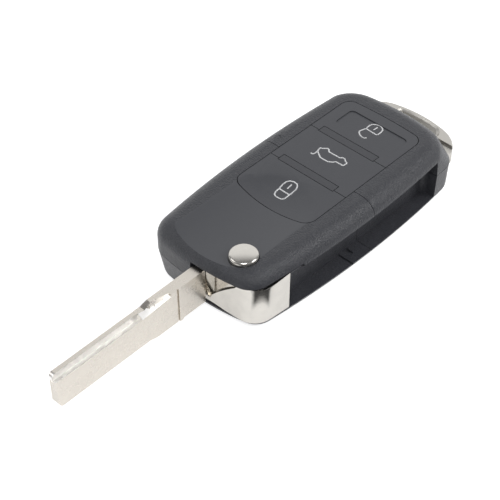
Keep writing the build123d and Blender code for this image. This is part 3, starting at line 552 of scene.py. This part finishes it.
print_symbol("open_padlock_print", "unlock_button", open_padlock,
             lambda x, y: casing_top_z - unlock_recess, padlock_corner)

# Blade carrier and flip button. Zinc castings, copper and nickel plated and then chromed. The
# plate is bright, with the faint waviness of a casting and a film of handling marks. The
# carrier's rim stands a little higher than in the plain model, up to the raised ceiling.
chrome_colour = (0.70, 0.675, 0.63, 1)


def plated_metal(name, colour, roughness, wave, wave_depth, brush):
    """Plated metal: even colour with faint patches, uneven gloss, and waves or brush lines."""
    marks_per_metre = 420
    marked_shade = 0.93
    gloss_spread = 0.08
    metal = bpy.data.materials.new(name)
    metal.use_nodes = True
    nodes = metal.node_tree.nodes
    links = metal.node_tree.links
    shader = nodes["Principled BSDF"]
    shader.inputs["Metallic"].default_value = 1.0
    place = nodes.new("ShaderNodeTexCoord")
    stretch = nodes.new("ShaderNodeMapping")
    stretch.inputs["Scale"].default_value = brush
    links.new(place.outputs["Object"], stretch.inputs["Vector"])
    waves = nodes.new("ShaderNodeTexNoise")
    waves.inputs["Scale"].default_value = 1 / wave
    waves.inputs["Detail"].default_value = 3
    links.new(stretch.outputs["Vector"], waves.inputs["Vector"])
    marks = nodes.new("ShaderNodeTexNoise")
    marks.inputs["Scale"].default_value = marks_per_metre
    marks.inputs["Detail"].default_value = 5
    links.new(place.outputs["Object"], marks.inputs["Vector"])
    shades = nodes.new("ShaderNodeValToRGB")
    shades.color_ramp.elements[0].position = 0.3
    shades.color_ramp.elements[0].color = tuple(c * marked_shade for c in colour[:3]) + (1,)
    shades.color_ramp.elements[1].position = 0.7
    shades.color_ramp.elements[1].color = colour
    links.new(marks.outputs["Fac"], shades.inputs["Fac"])
    links.new(shades.outputs["Color"], shader.inputs["Base Color"])
    gloss = nodes.new("ShaderNodeMapRange")
    gloss.inputs["From Min"].default_value = 0.3
    gloss.inputs["From Max"].default_value = 0.75
    gloss.inputs["To Min"].default_value = roughness
    gloss.inputs["To Max"].default_value = roughness + gloss_spread
    links.new(marks.outputs["Fac"], gloss.inputs["Value"])
    links.new(gloss.outputs["Result"], shader.inputs["Roughness"])
    relief = nodes.new("ShaderNodeBump")
    relief.inputs["Distance"].default_value = wave_depth
    links.new(waves.outputs["Fac"], relief.inputs["Height"])
    links.new(relief.outputs["Normal"], shader.inputs["Normal"])
    return metal


unbrushed = (1, 1, 1)
bright_chrome = plated_metal("bright_chrome", chrome_colour, roughness=0.10,
                             wave=0.0018, wave_depth=0.000006, brush=unbrushed)
button_chrome = plated_metal("button_chrome", chrome_colour, roughness=0.19,
                             wave=0.0018, wave_depth=0.000006, brush=unbrushed)
carrier_rim_low = 0.0122
carrier_rim_high = 0.01305
carrier_rim_lift = 0.0004
carrier_solid = copy_solid("blade_carrier")
for corner in carrier_solid.verts:
    if carrier_rim_low < corner.co.z < carrier_rim_high:
        corner.co.z += carrier_rim_lift
stand_in(carrier_solid, "carrier_casting", "blade_carrier", "blade_unit", bright_chrome,
         crease=24, broken_edge=0.00025)
finish_node("flip_button", button_chrome, 30)

# Key blade. A stamped steel blank, nickel plated and warm in tone, with fine drawing lines
# along it. The track milled into the near side is whiter and a little duller.
drawn_along = (0.06, 1, 1)
nickel_plate = plated_metal("nickel_plate", (0.745, 0.70, 0.635, 1), roughness=0.24,
                            wave=0.00035, wave_depth=0.0000008, brush=drawn_along)
milled_nickel = plated_metal("milled_nickel", (0.98, 0.965, 0.94, 1), roughness=0.32,
                             wave=0.00035, wave_depth=0.0000004, brush=drawn_along)
blade = finish_node("key_blade", nickel_plate, 12)
blade.data.materials.append(milled_nickel)
track_start_x = -0.0166
track_side_y = (0.00626, 0.0086)
track_low_z = 0.0104
track_high_z = 0.01234
for face in blade.data.polygons:
    middle = face.center
    if (middle.x < track_start_x and track_side_y[0] < middle.y < track_side_y[1]
            and track_low_z < middle.z < track_high_z):
        face.material_index = 1

# Key ring loop. A flat chromed casting let into the rear of the lower shell. Its opening is
# just over a millimetre shorter at the far end than in the plain model, so that the casing
# covers its end.
loop_chrome = plated_metal("loop_chrome", (0.62, 0.60, 0.56, 1), roughness=0.34,
                           wave=0.0020, wave_depth=0.000006, brush=unbrushed)
opening_mid_y = 0.008
opening_half = 0.008
opening_end_y = 0.0164
opening_front_x = 0.0680
opening_rear_x = 0.0739
opening_bevel_x = 0.07436
bevel_end_y = 0.015
end_fill = 0.0012
loop_solid = copy_solid("keyring_loop")
for corner in loop_solid.verts:
    x, y = corner.co.xy
    on_wall = opening_front_x < x < opening_rear_x
    on_bevel = opening_rear_x <= x < opening_bevel_x and y < bevel_end_y
    if (on_wall or on_bevel) and opening_mid_y < y < opening_end_y:
        corner.co.y -= end_fill * (y - opening_mid_y) / opening_half
stand_in(loop_solid, "ring_loop", "keyring_loop", "case", loop_chrome, crease=24)

# Cross pin, flip spring, screw and switch cases. Plain bright steel, drawn or pressed.
drawn_steel = plated_metal("drawn_steel", (0.56, 0.56, 0.57, 1), roughness=0.30,
                           wave=0.0003, wave_depth=0.000003, brush=(1, 1, 0.1))
for part in ("blade_pin", "case_screw", "lock_switch", "boot_switch", "unlock_switch", "resonator_can"):
    finish_node(part, drawn_steel)
wound_spring = bpy.data.objects.new("wound_spring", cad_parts["flip_spring"].data.copy())
bpy.context.collection.objects.link(wound_spring)
wound_spring.data.materials.clear()
wound_spring.data.materials.append(drawn_steel)
soften_facets(wound_spring)
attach(wound_spring, "blade_unit")
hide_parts("flip_spring")
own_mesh(wound_spring)

# Coin cell and its contacts. The cell's can is brushed stainless steel; the contacts are
# springy brass strip, bent so that one lies under the cell and one presses on it.
cell_steel = plated_metal("cell_steel", (0.62, 0.62, 0.63, 1), roughness=0.26,
                          wave=0.0002, wave_depth=0.000003, brush=(1, 0.05, 1))
finish_node("coin_cell", cell_steel)
strip_brass = plated_metal("strip_brass", (0.78, 0.62, 0.33, 1), roughness=0.25,
                           wave=0.0003, wave_depth=0.000003, brush=(0.08, 1, 1))
for contact in ("battery_contact_negative", "battery_contact_positive"):
    finish_node(contact, strip_brass)

# Circuit board. Glass fibre laminate under a green solder mask that shows the copper tracks
# as slightly raised lighter lines.
solder_mask = bpy.data.materials.new("solder_mask")
solder_mask.use_nodes = True
mask_nodes = solder_mask.node_tree.nodes
mask_links = solder_mask.node_tree.links
mask_shader = mask_nodes["Principled BSDF"]
mask_shader.inputs["Roughness"].default_value = 0.35
mask_place = mask_nodes.new("ShaderNodeTexCoord")
mask_tracks = mask_nodes.new("ShaderNodeTexBrick")
mask_tracks.inputs["Scale"].default_value = 200
mask_tracks.inputs["Mortar Size"].default_value = 0.03
mask_tracks.inputs["Mortar Smooth"].default_value = 0.2
mask_tracks.inputs["Color1"].default_value = (0.02, 0.14, 0.06, 1)
mask_tracks.inputs["Color2"].default_value = (0.025, 0.16, 0.07, 1)
mask_tracks.inputs["Mortar"].default_value = (0.06, 0.27, 0.11, 1)
mask_links.new(mask_place.outputs["Object"], mask_tracks.inputs["Vector"])
mask_links.new(mask_tracks.outputs["Color"], mask_shader.inputs["Base Color"])
mask_relief = mask_nodes.new("ShaderNodeBump")
mask_relief.inputs["Distance"].default_value = 0.00003
mask_links.new(mask_tracks.outputs["Fac"], mask_relief.inputs["Height"])
mask_links.new(mask_relief.outputs["Normal"], mask_shader.inputs["Normal"])
finish_node("circuit_board", solder_mask)

# Control chip and transponder. Black epoxy mouldings, matt from the mould. The chip is on the
# board, and the transponder is in the front half of the casing.
epoxy = moulded_plastic("epoxy", (0.018, 0.018, 0.02, 1), (0.026, 0.026, 0.028, 1),
                        roughness=0.6, grain=0.0002, depth=0.000008)
for moulding in ("control_chip", "transponder_chip"):
    finish_node(moulding, epoxy)
